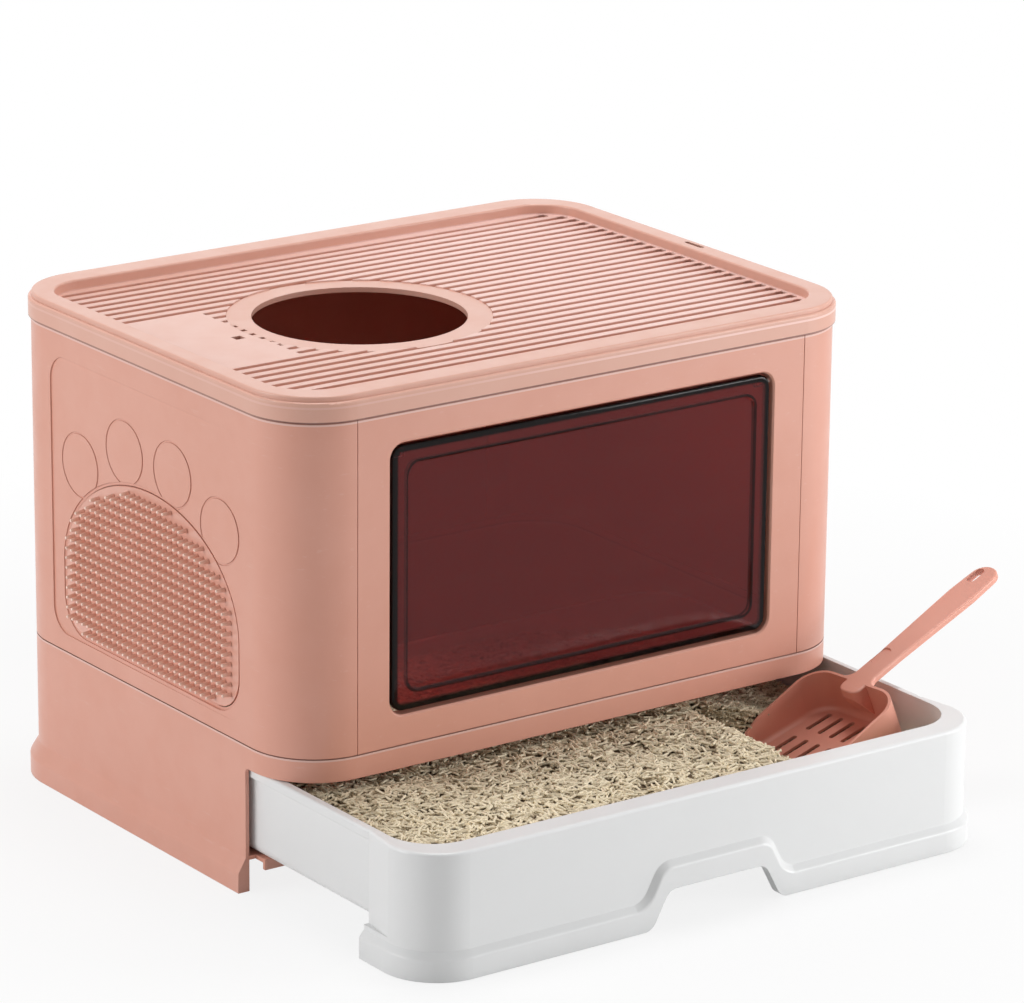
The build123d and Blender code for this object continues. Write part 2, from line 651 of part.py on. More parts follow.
# Drawer: a tray behind a full-height rounded front with a flared foot and a finger notch
with BuildPart() as drawer:
    with BuildSketch(Plane.XY.offset(drawer_foot_gap)):
        with Locations((0, drawer_front_y)):
            RectangleRounded(
                body_width, body_depth, drawer_corner_radius, align=(Align.CENTER, Align.MIN)
            )
        with Locations((0, skirt_rear_y - drawer_fairing)):
            Rectangle(body_width, body_depth, align=(Align.CENTER, Align.MAX), mode=Mode.INTERSECT)
        Polygon(
            (-half_width, skirt_rear_y - drawer_fairing),
            (half_width, skirt_rear_y - drawer_fairing),
            (drawer_half_width, skirt_rear_y),
            (-drawer_half_width, skirt_rear_y),
            align=None,
        )
    extrude(amount=drawer_rim_top - drawer_foot_gap)
    with BuildLine():
        skirt_side = Line(
            (half_width, skirt_rear_y, drawer_foot_gap),
            (half_width, drawer_front_y + drawer_corner_radius, drawer_foot_gap),
        )
        JernArc(skirt_side @ 1, skirt_side % 1, drawer_corner_radius, -90)
        skirt_front = Line(
            (half_width - drawer_corner_radius, drawer_front_y, drawer_foot_gap),
            (drawer_corner_radius - half_width, drawer_front_y, drawer_foot_gap),
        )
        JernArc(skirt_front @ 1, skirt_front % 1, drawer_corner_radius, -90)
        Line(
            (-half_width, drawer_front_y + drawer_corner_radius, drawer_foot_gap),
            (-half_width, skirt_rear_y, drawer_foot_gap),
        )
    with BuildSketch(
        Plane((half_width, skirt_rear_y, drawer_foot_gap), x_dir=(1, 0, 0), z_dir=(0, -1, 0))
    ) as skirt_foot:
        Polygon(
            *foot_outline(2 * drawer_wall, drawer_flare, drawer_band_height, drawer_band_slope),
            align=None,
        )
        fillet(skirt_foot.vertices().group_by(Axis.Y)[1], drawer_band_round)
    sweep()
    with BuildPart(mode=Mode.PRIVATE) as hood:
        with BuildSketch(Plane.XZ.offset(-drawer_front_y)) as hood_outline:
            hood_foot = notch_half_width + notch_slope + hood_side
            Polygon(
                (-hood_foot - hood_skirt, -notch_height),
                (-hood_foot - hood_skirt, drawer_ledge - hood_sink),
                (-hood_foot, drawer_ledge - hood_sink),
                (-notch_half_width - hood_side, drawer_ledge + notch_height),
                (notch_half_width + hood_side, drawer_ledge + notch_height),
                (hood_foot, drawer_ledge - hood_sink),
                (hood_foot + hood_skirt, drawer_ledge - hood_sink),
                (hood_foot + hood_skirt, -notch_height),
                align=None,
            )
            hood_bends = hood_outline.vertices().group_by(Axis.X)
            fillet(hood_bends[1] + hood_bends[2] + hood_bends[3] + hood_bends[4], hood_round)
        extrude(
            amount=drawer_flare, taper=math.degrees(math.atan2(drawer_band_slope, drawer_flare))
        )
        hood_front = hood.faces().filter_by(Axis.Y).sort_by(Axis.Y)[0]
        fillet(
            hood_front.edges().filter_by_position(Axis.Z, 0, drawer_rim_top), drawer_band_round
        )
    add(hood.part)
    with BuildSketch(Plane.XY.offset(drawer_foot_gap)):
        with Locations((0, drawer_front_y)):
            Rectangle(body_width, corner_radius)
    extrude(amount=-2 * notch_height, mode=Mode.SUBTRACT)
    with BuildSketch(Plane.XZ.offset(drawer_flare - drawer_front_y)) as notch:
        Polygon(
            (-body_width, -notch_height),
            (-body_width, drawer_foot_gap),
            (-notch_half_width - notch_slope, drawer_foot_gap),
            (-notch_half_width, drawer_foot_gap + notch_height),
            (notch_half_width, drawer_foot_gap + notch_height),
            (notch_half_width + notch_slope, drawer_foot_gap),
            (body_width, drawer_foot_gap),
            (body_width, -notch_height),
            align=None,
        )
        notch_bends = notch.vertices().group_by(Axis.X)
        fillet(notch_bends[1] + notch_bends[2] + notch_bends[3] + notch_bends[4], notch_round)
    extrude(amount=-drawer_flare - drawer_front_rim + drawer_wall, mode=Mode.SUBTRACT)
    with BuildSketch(Plane.XY):
        with Locations((0, drawer_front_y + drawer_wall)):
            RectangleRounded(
                body_width - 2 * drawer_wall,
                body_depth,
                drawer_corner_radius - drawer_wall,
                align=(Align.CENTER, Align.MIN),
            )
        with Locations((0, skirt_rear_y - drawer_fairing)):
            Rectangle(body_width, body_depth, align=(Align.CENTER, Align.MAX), mode=Mode.INTERSECT)
        Polygon(
            (drawer_wall - half_width, skirt_rear_y - drawer_fairing),
            (half_width - drawer_wall, skirt_rear_y - drawer_fairing),
            (drawer_half_width - drawer_wall, skirt_rear_y),
            (drawer_wall - drawer_half_width, skirt_rear_y),
            align=None,
        )
    extrude(amount=drawer_rim_top - drawer_wall, mode=Mode.SUBTRACT)
    with BuildSketch(Plane.XY.offset(drawer_rim_top - drawer_rim_drop)):
        with Locations((0, tray_rear_y)):
            RectangleRounded(
                2 * drawer_half_width,
                drawer_length - drawer_corner_radius,
                drawer_inner_radius + drawer_wall,
                align=(Align.CENTER, Align.MAX),
            )
        with Locations((0, skirt_rear_y - drawer_fairing)):
            Rectangle(body_width, body_depth, align=(Align.CENTER, Align.MIN), mode=Mode.INTERSECT)
    extrude(amount=drawer_rim_drop)
    with BuildPart(mode=Mode.PRIVATE) as tray_block:
        with BuildSketch(Plane.XY.offset(tray_bottom)):
            with Locations((0, tray_mid_y)):
                RectangleRounded(
                    2 * tray_half_width,
                    tray_length,
                    drawer_inner_radius + drawer_wall,
                )
        extrude(amount=drawer_rim_top - tray_bottom)
        fillet(tray_block.faces().sort_by(Axis.Z)[0].edges(), drawer_edge_radius)
    add(tray_block.part)
    with BuildPart(mode=Mode.PRIVATE) as tray_hollow:
        with BuildSketch(Plane.XY.offset(tray_floor)):
            with Locations((0, tray_mid_y)):
                RectangleRounded(
                    2 * (tray_half_width - drawer_wall),
                    tray_length - 2 * drawer_wall,
                    drawer_inner_radius,
                )
        extrude(amount=drawer_rim_top)
        fillet(tray_hollow.faces().sort_by(Axis.Z)[0].edges(), drawer_inner_edge_radius)
    add(tray_hollow.part, mode=Mode.SUBTRACT)
    rim_face = drawer.faces().filter_by(Axis.Z).sort_by(Axis.Z)[-1]
    fillet(rim_face.outer_wire().edges(), drawer_rim_round)

# Scoop: an open-fronted slotted pan with a channel handle rising from its back wall
pan_floor = Plane(
    (0, 0, -pan_back_depth), x_dir=(1, 0, -pan_bottom_slope), z_dir=(pan_bottom_slope, 0, 1)
)
with BuildPart() as pan_hollow:
    with BuildSketch():
        with Locations((-pan_wall, 0)):
            RectangleRounded(
                2 * pan_length, pan_width - 2 * pan_wall, pan_corner_radius - pan_wall,
                align=(Align.MAX, Align.CENTER),
            )
    extrude(amount=pan_back_depth, both=True)
    split(bisect_by=pan_floor.offset(pan_wall), keep=Keep.TOP)
    hollow_floor = pan_hollow.faces().sort_by(Axis.Z)[0]
    fillet(hollow_floor.edges().group_by(Axis.X)[1:], pan_edge_radius - pan_wall)

with BuildPart() as handle_blank:
    with BuildSketch() as handle_outline:
        for reach, width in (
            (handle_neck_x, handle_neck_width),
            (handle_grip_x, handle_grip_width),
            (handle_length - handle_tip_width / 2, handle_tip_width),
        ):
            with Locations((reach, 0)):
                Circle(width / 2)
        make_hull(handle_outline.edges())
        with Locations((-pan_wall, 0)):
            Rectangle(
                pan_wall + handle_neck_x, handle_neck_width, align=(Align.MIN, Align.CENTER)
            )
            Rectangle(pan_wall, 2 * handle_shoulder, align=(Align.MIN, Align.CENTER))
        for neck_side in (-1, 1):
            neck_corner = handle_outline.vertices().sort_by_distance(
                (0, neck_side * handle_neck_width / 2, 0)
            )[0]
            fillet(neck_corner, handle_neck_round)
    extrude(amount=-handle_thickness)
    handle_rim = handle_blank.edges().filter_by_position(Axis.X, 0, handle_length)
    fillet(handle_rim.filter_by(Axis.Z, reverse=True), handle_round)

with BuildPart() as handle_foot:
    with BuildSketch(Plane.XZ):
        Polygon(
            (0, 0),
            (-handle_root, 0),
            (-handle_root, -handle_root_height),
            (-pan_wall / 2, -handle_root_depth),
            (0, -handle_root_depth),
            align=None,
        )
    extrude(amount=handle_neck_width / 2, both=True)
    fillet(handle_foot.edges().filter_by(Axis.Z).group_by(Axis.X)[0], handle_root_round)
    foot_top = handle_foot.faces().sort_by(Axis.Z)[-1]
    fillet(foot_top.edges().group_by(Axis.X)[:-1], handle_round)

with BuildPart() as scoop_upright:
    with BuildSketch():
        RectangleRounded(
            2 * pan_length, pan_width, pan_corner_radius, align=(Align.MAX, Align.CENTER)
        )
    extrude(amount=-2 * pan_back_depth)
    split(bisect_by=pan_floor, keep=Keep.TOP)
    pan_underside = scoop_upright.faces().sort_by(Axis.Z)[0]
    fillet(pan_underside.edges(), pan_edge_radius)
    add(pan_hollow.part, mode=Mode.SUBTRACT)
    with BuildSketch(Plane.XZ) as rim_line:
        Polygon(
            (0, 0),
            (-pan_wall, 0),
            (-pan_level_rim, -pan_rim_dip),
            (-pan_length, pan_front_lip - pan_front_depth),
            (-pan_length, -2 * pan_back_depth),
            (-3 * pan_length, -2 * pan_back_depth),
            (-3 * pan_length, pan_back_depth),
            (0, pan_back_depth),
            align=None,
        )
        rim_bend = rim_line.vertices().sort_by_distance((-pan_level_rim, -pan_rim_dip, 0))[0]
        fillet(rim_bend, pan_rim_bend)
    extrude(amount=pan_width, both=True, mode=Mode.SUBTRACT)
    add(handle_blank.part)
    add(handle_foot.part)
    with BuildSketch(pan_floor):
        with Locations((-slot_back_margin - (slot_rows - 1) * slot_row_pitch / 2, 0)):
            with GridLocations(slot_row_pitch, slot_pitch, slot_rows, slot_columns):
                SlotOverall(slot_length, slot_width)
    extrude(amount=2 * pan_wall, both=True, mode=Mode.SUBTRACT)
    with BuildSketch(Plane.XY.offset(-handle_thickness)) as handle_channel:
        add(handle_outline.sketch)
        offset(amount=-handle_channel_wall, mode=Mode.REPLACE)
        with Locations((handle_channel_wall, 0)):
            Rectangle(
                handle_length - hang_hole_margin - hang_hole_length / 2 - 2 * handle_channel_wall,
                pan_width,
                align=(Align.MIN, Align.CENTER),
                mode=Mode.INTERSECT,
            )
    extrude(amount=handle_thickness - handle_channel_wall, mode=Mode.SUBTRACT)
    with BuildSketch():
        with Locations((handle_length - hang_hole_margin, hang_hole_offset)):
            SlotOverall(hang_hole_length, hang_hole_width)
    extrude(amount=-handle_thickness, mode=Mode.SUBTRACT)
    with BuildSketch():
        with Locations((thumb_recess_x, thumb_recess_y)):
            SlotOverall(thumb_recess_length, thumb_recess_width)
    extrude(amount=-thumb_recess_depth, taper=30, mode=Mode.SUBTRACT)

scoop_place = Location(Plane(scoop_back_centre, x_dir=scoop_axis, z_dir=scoop_mouth_axis))
with BuildPart() as scoop:
    add(scoop_upright.part.solid().moved(scoop_place))

# Litter: a bed that fills the tray and slopes off to the right under the scoop
with BuildPart() as scoop_bay:
    with BuildSketch(Plane.XZ):
        Polygon(
            (-pan_length - fit_gap, -pan_front_depth - scoop_seat_gap),
            (pan_length, -pan_back_depth - pan_length * pan_bottom_slope - scoop_seat_gap),
            (pan_length, pan_length),
            (-pan_length - fit_gap, pan_length),
            align=None,
        )
    extrude(amount=pan_width / 2 + scoop_bay_gap, both=True)

with BuildPart() as mound:
    with BuildSketch(Plane.XZ):
        with BuildLine():
            ThreePointArc(
                (-mound_radius, litter_level), (0, litter_top), (mound_radius, litter_level)
            )
            Line((mound_radius, litter_level), (0, litter_level - wall))
            Line((0, litter_level - wall), (-mound_radius, litter_level))
        make_face()
        Rectangle(mound_radius, body_depth, align=(Align.MIN, Align.CENTER), mode=Mode.INTERSECT)
    revolve(axis=Axis.Z)

mound_places = []
for row in range(-2, 3):
    shift = mound_pitch / 2 if row % 2 else 0
    for column in range(-3, 4):
        mound_x = column * mound_pitch + shift
        mound_y = tray_mid_y + row * mound_pitch * 0.9
        fits_x = abs(mound_x) < tray_half_width - drawer_wall - mound_radius
        fits_y = abs(mound_y - tray_mid_y) < tray_length / 2 - drawer_wall - mound_radius
        if fits_x and fits_y:
            mound_places.append((mound_x, mound_y))
print("mounds", len(mound_places))

with BuildPart() as litter_bed:
    with BuildSketch(Plane.XY.offset(tray_floor + litter_gap)):
        with Locations((0, tray_mid_y)):
            RectangleRounded(
                2 * (tray_half_width - drawer_wall - litter_gap),
                tray_length - 2 * (drawer_wall + litter_gap),
                drawer_inner_radius - litter_gap,
            )
    extrude(amount=litter_level - tray_floor - litter_gap)
    fillet(litter_bed.faces().sort_by(Axis.Z)[0].edges(), drawer_inner_edge_radius)
    add([mound.part.moved(Location((x, y, 0))) for x, y in mound_places])
    with BuildSketch(Plane.XZ):
        Polygon(
            (litter_crest_x, litter_top),
            (tray_half_width, litter_slope_end),
            (tray_half_width, 2 * litter_top),
            (litter_crest_x, 2 * litter_top),
            align=None,
        )
    extrude(amount=body_depth, both=True, mode=Mode.SUBTRACT)
    add(scoop_bay.part.moved(scoop_place), mode=Mode.SUBTRACT)

labelled = {
    "base_frame": base_frame,
    "right_side_shell": right_side_shell,
    "left_side_shell": left_side_shell,
    "grooming_pad": grooming_pad,
    "rear_panel": rear_panel,
    "front_panel": front_panel,
    "flap_door": flap_door,
    "right_hinge_pin": right_hinge_pin,
    "left_hinge_pin": left_hinge_pin,
    "lid": lid,
    "drawer": drawer,
    "litter_bed": litter_bed,
    "scoop": scoop,
}
for node_name, block in labelled.items():
    print(node_name, len(block.part.solids()), round(block.part.volume))
    block.part.label = node_name
    export_step(block.part, f"parts/{node_name}.step")
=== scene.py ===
"""Cat litter box: finishes, litter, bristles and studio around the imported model."""

from __future__ import annotations

import logging
import math
from dataclasses import dataclass
from enum import Enum

import bpy  # noqa: E402
import numpy as np  # noqa: E402
from mathutils import Matrix, Vector  # noqa: E402


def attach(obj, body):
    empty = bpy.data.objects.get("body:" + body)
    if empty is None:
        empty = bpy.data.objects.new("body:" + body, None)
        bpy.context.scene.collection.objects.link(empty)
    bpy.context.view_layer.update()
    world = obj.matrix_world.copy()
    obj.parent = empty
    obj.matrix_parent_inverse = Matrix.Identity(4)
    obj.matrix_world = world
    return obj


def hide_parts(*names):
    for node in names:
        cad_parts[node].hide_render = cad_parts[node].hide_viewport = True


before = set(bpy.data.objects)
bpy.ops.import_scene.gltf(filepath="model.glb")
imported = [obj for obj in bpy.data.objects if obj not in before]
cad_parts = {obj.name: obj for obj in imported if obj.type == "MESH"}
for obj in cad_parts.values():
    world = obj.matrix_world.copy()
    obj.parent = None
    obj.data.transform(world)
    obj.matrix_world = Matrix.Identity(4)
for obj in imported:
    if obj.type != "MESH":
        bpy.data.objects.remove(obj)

log = logging.getLogger("litter_box")
MM = 0.001
WHITE = (1.0, 1.0, 1.0, 1.0)
MIRROR_RAYS = ("Is Glossy Ray", "Is Transmission Ray")
# A Mix node's colour sockets, which share their names with its number and vector sockets.
MIX_A, MIX_B, MIX_RESULT = 6, 7, 2
# Rays that a Bevel node sends to round an edge.
EDGE_SAMPLES = 6
# The attribute that gives each pellet its tone: partly its own, partly painted shade for pellets
# sunk deeper or under the cabin.
PELLET_TONE_AND_SHADE = "pellet_tone_and_shade"

Triple = tuple[float, float, float]
Colour = tuple[float, float, float]
Span = tuple[float, float]


class Socket:
    """A node's output, with the arithmetic that a shader mask needs."""

    def __init__(self, graph: ShaderGraph, link: bpy.types.NodeSocket) -> None:
        """Wrap a node output.

        Args:
            graph: The graph that the node is in.
            link: The node output to wrap.
        """
        self.graph = graph
        self.link = link

    def _maths(self, operation: str, *values: Socket | float) -> Socket:
        """Add a Math node over the values and return its result."""
        node = self.graph.node("ShaderNodeMath", {"operation": operation}, dict(enumerate(values)))
        return Socket(self.graph, node.outputs[0])

    def __add__(self, other: Socket | float) -> Socket:
        """Sum."""
        return self._maths("ADD", self, other)

    __radd__ = __add__

    def __sub__(self, other: Socket | float) -> Socket:
        """Difference."""
        return self._maths("SUBTRACT", self, other)

    def __rsub__(self, other: float) -> Socket:
        """Difference from a number."""
        return self._maths("SUBTRACT", other, self)

    def __mul__(self, other: Socket | float) -> Socket:
        """Product."""
        return self._maths("MULTIPLY", self, other)

    __rmul__ = __mul__

    def __abs__(self) -> Socket:
        """Absolute value."""
        return self._maths("ABSOLUTE", self)

    def root(self) -> Socket:
        """Square root."""
        return self._maths("SQRT", self)

    def at_least(self, other: Socket | float) -> Socket:
        """The larger of the value and another."""
        return self._maths("MAXIMUM", self, other)

    def at_most(self, other: Socket | float) -> Socket:
        """The smaller of the value and another."""
        return self._maths("MINIMUM", self, other)

    def near(self, middle: float, reach: float) -> Socket:
        """One where the value is within reach of a middle, otherwise nought."""
        return self._maths("COMPARE", self, middle, reach)


class ShaderGraph:
    """The nodes of a material or a world, and the one method that adds to them."""

    def __init__(self, tree: bpy.types.NodeTree, output: str) -> None:
        """Clear a node tree and give it an output node.

        Args:
            tree: The node tree.
            output: The output node's type.
        """
        self.tree = tree
        self.tree.nodes.clear()
        self.output = self.node(output)

    def node(
        self, kind: str, settings: dict | None = None, inputs: dict | None = None
    ) -> bpy.types.Node:
        """Add a node, set its settings first and then its sockets.

        Args:
            kind: The node's type.
            settings: Attributes of the node.
            inputs: Values, wrapped sockets or outputs, by socket name or number.

        Returns:
            The node.
        """
        node = self.tree.nodes.new(kind)
        for key, value in (settings or {}).items():
            setattr(node, key, value)
        for key, value in (inputs or {}).items():
            if isinstance(value, Socket):
                self.tree.links.new(value.link, node.inputs[key])
            elif isinstance(value, bpy.types.NodeSocket):
                self.tree.links.new(value, node.inputs[key])
            else:
                node.inputs[key].default_value = value
        return node

    def finish(self, shader: bpy.types.Node) -> None:
        """Link the closing shader to the output."""
        self.tree.links.new(shader.outputs[0], self.output.inputs["Surface"])


@dataclass(frozen=True)
class Pattern:
    """Noise in waves per metre and octaves, whose low to high is stretched over 0 to 1."""

    scale: float
    detail: float
    low: float
    high: float
    stretch: Triple = (1.0, 1.0, 1.0)


class MaterialGraph(ShaderGraph):
    """A new material, with the patterns and masks that the finishes share."""

    def __init__(self, name: str) -> None:
        """Start a material with an output and the object's coordinates.

        Args:
            name: The material's name.
        """
        self.material = bpy.data.materials.new(name)
        self.material.use_nodes = True
        super().__init__(self.material.node_tree, "ShaderNodeOutputMaterial")
        self.place = Socket(self, self.node("ShaderNodeTexCoord").outputs["Object"])

    def noise(self, scale: float, detail: float, stretch: Triple = (1.0, 1.0, 1.0)) -> Socket:
        """Noise over the object's own coordinates.

        Args:
            scale: Waves per metre.
            detail: Number of octaves.
            stretch: Scale along each axis.

        Returns:
            The noise value, about 0.5 in the middle.
        """
        mapping = self.node("ShaderNodeMapping", None, {"Vector": self.place, "Scale": stretch})
        inputs = {"Vector": mapping.outputs[0], "Scale": scale, "Detail": detail}
        return Socket(self, self.node("ShaderNodeTexNoise", None, inputs).outputs[0])

    def ramp(self, factor: Socket, low: float, high: float) -> Socket:
        """Stretch a value's range from low to high over 0 to 1."""
        inputs = {"Value": factor, "From Min": low, "From Max": high}
        return Socket(self, self.node("ShaderNodeMapRange", {"clamp": True}, inputs).outputs[0])

    def mask(self, pattern: Pattern) -> Socket:
        """Turn a pattern into a mask from 0 to 1."""
        noise = self.noise(pattern.scale, pattern.detail, pattern.stretch)
        return self.ramp(noise, pattern.low, pattern.high)

    def mix(self, factor: Socket, first: Colour | Socket, second: Colour | Socket) -> Socket:
        """Mix two colours.

        Args:
            factor: The second colour's share.
            first: A colour, or a socket that gives one.
            second: The other colour or socket.

        Returns:
            The mixed colour.
        """
        first = first if isinstance(first, Socket) else (*first, 1.0)
        second = second if isinstance(second, Socket) else (*second, 1.0)
        inputs = {"Factor": factor, MIX_A: first, MIX_B: second}
        node = self.node("ShaderNodeMix", {"data_type": "RGBA"}, inputs)
        return Socket(self, node.outputs[MIX_RESULT])

    def bump(self, height: Socket, distance: float, edge_radius: float = 0.0) -> Socket:
        """Turn a height into a surface normal, over edges softened to a radius.

        Args:
            height: The height, from 0 to 1.
            distance: What a height of 1 stands for, in metres.
            edge_radius: The radius that edges are softened to, or 0 for none.

        Returns:
            The normal.
        """
        inputs = {"Height": height, "Distance": distance}
        if edge_radius > 0:
            edge = self.node("ShaderNodeBevel", {"samples": EDGE_SAMPLES}, {"Radius": edge_radius})
            inputs["Normal"] = edge.outputs[0]
        return Socket(self, self.node("ShaderNodeBump", None, inputs).outputs[0])

    def from_outline(self, middle_z: float, half_x: float, half_z: float, radius: float) -> Socket:
        """Distance from an upright rounded rectangle's outline, negative inside it.

        Args:
            middle_z: Height of its middle, which lies over the origin's X.
            half_x: Half its width.
            half_z: Half its height.
            radius: Its corners' radius.

        Returns:
            The distance in metres.
        """
        split = self.node("ShaderNodeSeparateXYZ", None, {0: self.place})
        across = abs(Socket(self, split.outputs["X"])) - (half_x - radius)
        rise = abs(Socket(self, split.outputs["Z"]) - middle_z) - (half_z - radius)
        out_x, out_z = across.at_least(0.0), rise.at_least(0.0)
        corner = out_x * out_x + out_z * out_z
        return corner.root() + across.at_least(rise).at_most(0.0) - radius

    def surface(self, inputs: dict) -> bpy.types.Material:
        """Finish the material with one principled shader that has these inputs."""
        self.finish(self.node("ShaderNodeBsdfPrincipled", None, inputs))
        return self.material


@dataclass(frozen=True)
class MouldedPlastic:
    """Injection-moulded plastic: fine grain, faint flow mottling and light scuffs.

    The seams are heights of grooves between mouldings. Just under each runs a painted highlight
    line, for an edge catching light, and just over it a painted shade line, for the groove's
    shadow; each is given by its place over the seam, half its height and its strength.
    The tip highlight span is two places on X: where thin bristles end, painted paler as a painted
    highlight on their tips, and where their own colour begins.
    The glare level is the height and half reach of a level painted paler, as painted glare.
    It grows between the two places on X of the glare run, by the least and the further share.
    """

    name: str
    colour: Colour
    shade: Colour
    roughness: float = 0.42
    mottle: Pattern = Pattern(9.0, 2.0, low=0.35, high=0.65)
    cloud: Pattern = Pattern(42.0, 4.0, low=0.4, high=0.7)
    scuff: Pattern = Pattern(160.0, 6.0, low=0.64, high=0.74, stretch=(1.0, 0.25, 2.2))
    mottle_shade: float = 0.55
    cloud_shade: float = 0.25
    scuff_shade: float = 0.10
    cloud_roughness: float = 0.10
    scuff_roughness: float = 0.12
    grain_scale: float = 900.0
    grain_detail: float = 2.0
    grain_height: float = 0.00003
    coat: float = 0.0
    coat_roughness: float = 0.18
    ior: float = 1.49
    edge_radius: float = 0.0008
    seams: tuple[float, ...] = ()
    # Painted highlight line under each seam, painted shade line in its groove, and that shade's
    # colour.
    seam_highlight_line: Triple = (-0.00075, 0.0007, 0.5)
    seam_shade_line: Triple = (0.00045, 0.0005, 0.6)
    seam_shade: Colour = (0.13, 0.045, 0.035)
    # Painted highlight on bristle tips: where it spans on X, and its colour.
    tip_highlight_span: Span | None = None
    tip_highlight: Colour = (0.92, 0.68, 0.57)
    # Painted glare on a level: its height and reach, colour, run along X and share.
    glare_level: Span | None = None
    glare_colour: Colour = (0.86, 0.58, 0.52)
    glare_run: Span = (-0.12, 0.10)
    glare_share: Span = (0.25, 0.65)

    def line(self, height: Socket, seam: float, line: Triple) -> Socket:
        """Mask a line that runs level along a seam."""
        over, reach, strength = line
        return height.near(seam + over, reach) * strength

    def material(self) -> bpy.types.Material:
        """Build the material.

        Returns:
            The material.
        """
        graph = MaterialGraph(self.name)
        mottle, cloud, scuff = (graph.mask(kind) for kind in (self.mottle, self.cloud, self.scuff))
        # Pale colour of the scuffs, and of the painted highlight under each seam.
        scuff_and_seam_highlight = tuple(0.5 * value + 0.45 for value in self.colour)
        shaded = mottle * self.mottle_shade + cloud * self.cloud_shade
        base = graph.mix(shaded, self.colour, self.shade)
        base = graph.mix(scuff * self.scuff_shade, base, scuff_and_seam_highlight)
        split = graph.node("ShaderNodeSeparateXYZ", None, {0: graph.place})
        across, height = Socket(graph, split.outputs["X"]), Socket(graph, split.outputs["Z"])
        # Each seam gets a painted highlight line and a painted shade line.
        for seam in self.seams:
            base = graph.mix(self.line(height, seam, self.seam_highlight_line), base, scuff_and_seam_highlight)
            base = graph.mix(self.line(height, seam, self.seam_shade_line), base, self.seam_shade)
        # Painted highlight on the bristle tips.
        if self.tip_highlight_span:
            base = graph.mix(graph.ramp(across, *self.tip_highlight_span), self.tip_highlight, base)
        # Painted glare on the deck's level, growing towards +X.
        if self.glare_level:
            least, further = self.glare_share
            share = graph.ramp(across, *self.glare_run) * further + least
            base = graph.mix(height.near(*self.glare_level) * share, base, self.glare_colour)
        rough = self.roughness + self.cloud_roughness * cloud + self.scuff_roughness * scuff
        grain = graph.noise(self.grain_scale, self.grain_detail)
        return graph.surface(
            {
                "Base Color": base,
                "Roughness": rough,
                "Normal": graph.bump(grain, self.grain_height, self.edge_radius),
                "Coat Weight": self.coat,
                "Coat Roughness": self.coat_roughness,
                "IOR": self.ior,
            }
        )


@dataclass(frozen=True)
class TintedSheet:
    """Glossy see-through tinted plastic with a few faint wipe marks.

    Its thick rim and the step round its sunk field are painted near black, as painted shade.
    """

    name: str
    tint: Colour
    haze: Colour
    # Colour of the painted shade at the rim and the step.
    edge_shade: Colour = (0.010, 0.004, 0.004)
    smear: Pattern = Pattern(26.0, 4.0, low=0.5, high=0.8, stretch=(0.4, 1.0, 2.0))
    dust: Pattern = Pattern(700.0, 2.0, low=0.66, high=0.78)
    smear_haze: float = 0.3
    dust_haze: float = 0.2
    roughness: float = 0.04
    smear_roughness: float = 0.05
    dust_roughness: float = 0.10
    clearness: float = 0.85
    ior: float = 1.26
    middle_z: float = 0.23635
    half_x: float = 0.1683
    half_z: float = 0.09875
    corner: float = 0.0095
    rim: float = 0.0040
    rim_blur: float = 0.0015
    border: float = 0.0130
    step_reach: float = 0.0011
    step_strength: float = 0.9

    def material(self) -> bpy.types.Material:
        """Build the material.

        Returns:
            The material.
        """
        graph = MaterialGraph(self.name)
        smear, dust = graph.mask(self.smear), graph.mask(self.dust)
        tint = graph.mix(smear * self.smear_haze + dust * self.dust_haze, self.tint, self.haze)
        rough = self.roughness + self.smear_roughness * smear + self.dust_roughness * dust
        # Painted shade: near black over the thick rim and along the step round the sunk field.
        rim = graph.from_outline(self.middle_z, self.half_x, self.half_z, self.corner)
        rim = graph.ramp(rim, -self.rim - self.rim_blur, -self.rim)
        step = graph.from_outline(
            self.middle_z, self.half_x - self.border, self.half_z - self.border, self.corner
        )
        step = step.near(0.0, self.step_reach) * self.step_strength
        return graph.surface(
            {
                "Base Color": graph.mix(rim, graph.mix(step, tint, self.edge_shade), self.edge_shade),
                "Roughness": rough,
                "Transmission Weight": self.clearness,
                "IOR": self.ior,
            }
        )


@dataclass(frozen=True)
class PressedPellet:
    """Dry pressed plant fibre with a rough skin; each pellet's tone is partly its own, partly
    painted shade.
    """

    name: str
    pale: Colour
    deep: Colour
    tone_shade: float = 0.8
    fibre_shade: float = 0.25
    fibre_scale: float = 1100.0
    fibre_detail: float = 3.0
    fibre_height: float = 0.00025
    roughness: float = 0.72
    fibre_roughness: float = 0.2

    def material(self) -> bpy.types.Material:
        """Build the material.

        Returns:
            The material.
        """
        graph = MaterialGraph(self.name)
        tone = graph.node("ShaderNodeAttribute", {"attribute_name": PELLET_TONE_AND_SHADE}).outputs["Fac"]
        fibre = graph.noise(self.fibre_scale, self.fibre_detail)
        deeper = graph.ramp(fibre, 0.3, 0.7) * self.fibre_shade
        shade = Socket(graph, tone) * self.tone_shade + deeper
        return graph.surface(
            {
                "Base Color": graph.mix(shade, self.pale, self.deep),
                "Roughness": self.roughness + self.fibre_roughness * fibre,
                "Normal": graph.bump(fibre, self.fibre_height),
            }
        )


